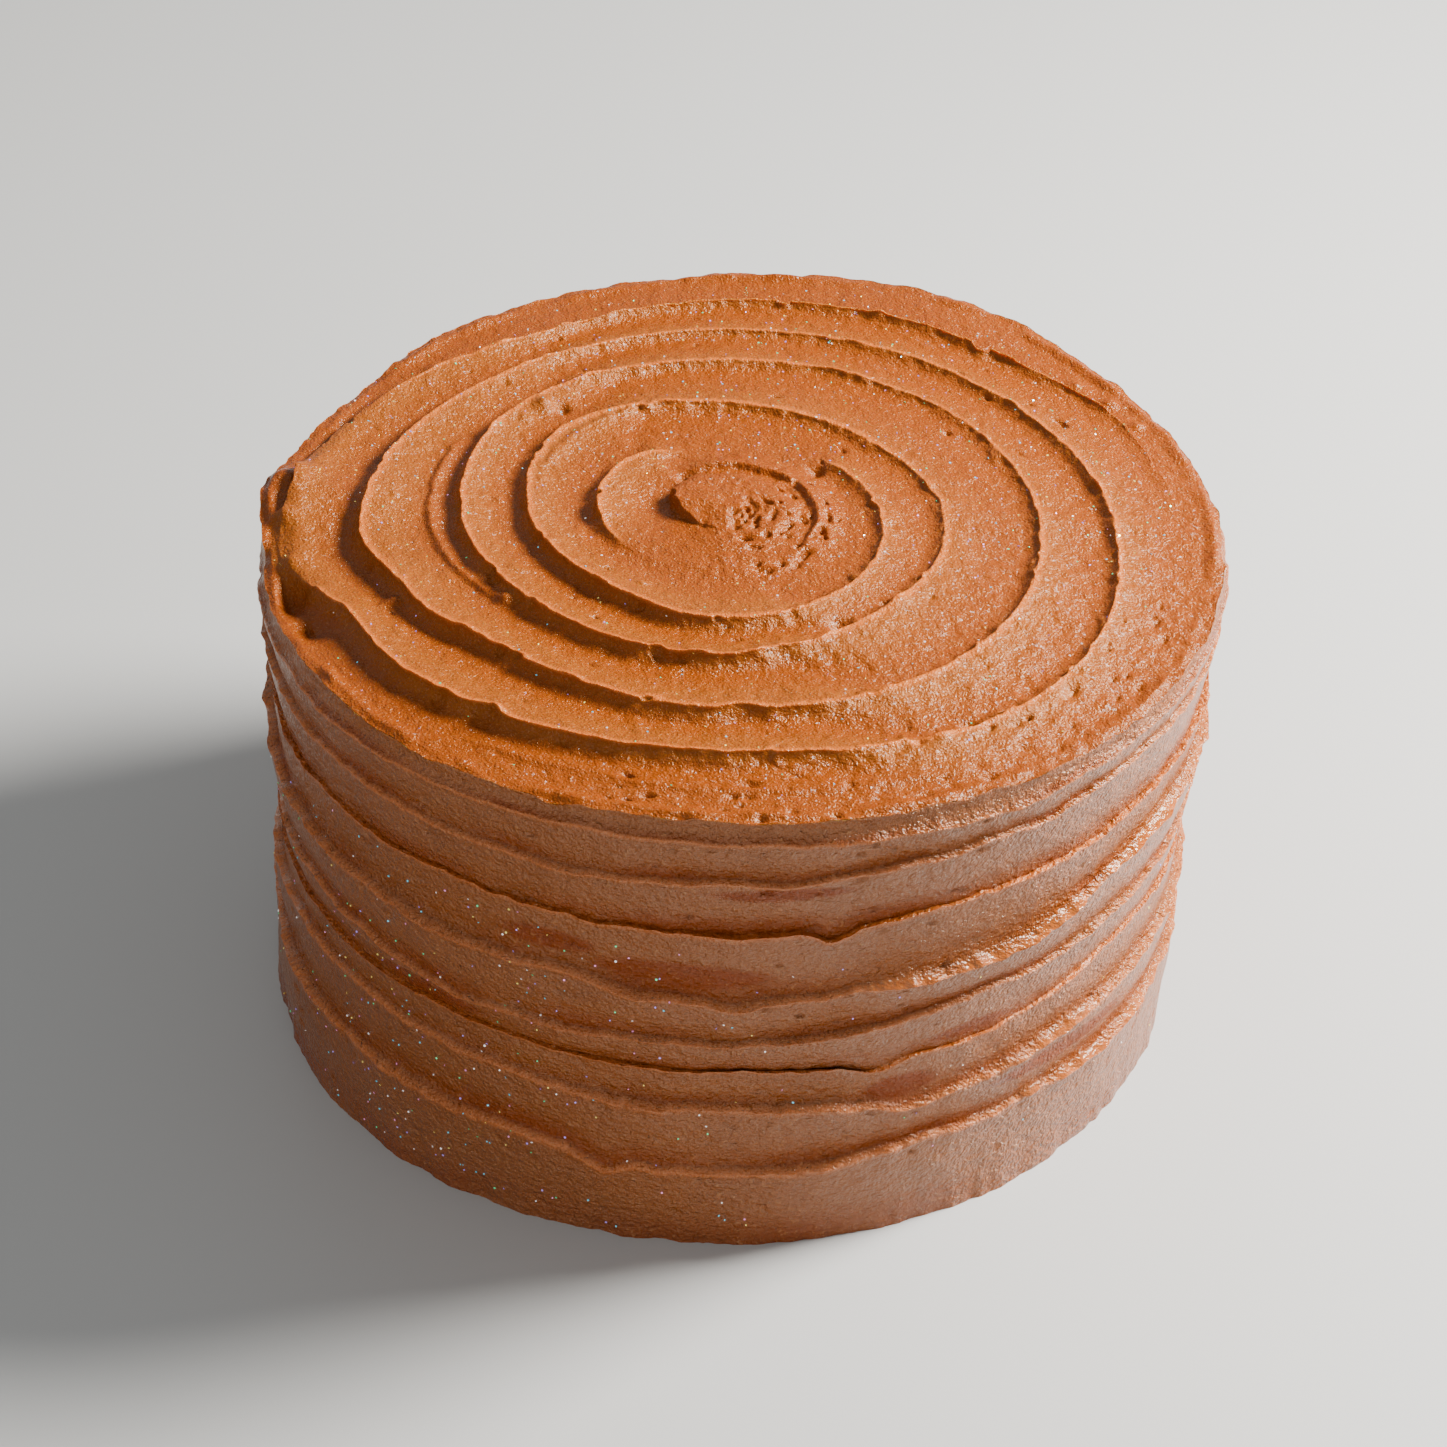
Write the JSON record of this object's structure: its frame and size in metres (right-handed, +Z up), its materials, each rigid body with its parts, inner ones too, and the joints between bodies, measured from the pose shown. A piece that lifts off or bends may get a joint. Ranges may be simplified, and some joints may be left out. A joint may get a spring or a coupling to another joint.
{
  "type": "chocolate cake",
  "caption": "Round uncut layer cake iced all over with chocolate buttercream: a spiral palette-knife swirl on top and level knife ridges round the side",
  "frame": {"origin": "middle of the cake's footprint box, on the surface that it stands on", "axes": "+Z up through the spiral on top; -Y is the side that faced the camera, +X the camera's right"},
  "size_m": [0.1644, 0.165, 0.0969],
  "materials": {
    "chocolate_buttercream": "mid brown milk chocolate buttercream, satin, smeared smooth by the knife with fine air pits"
  },
  "bodies": {
    "root": {"cake": "chocolate_buttercream"}
  },
  "joints": []
}
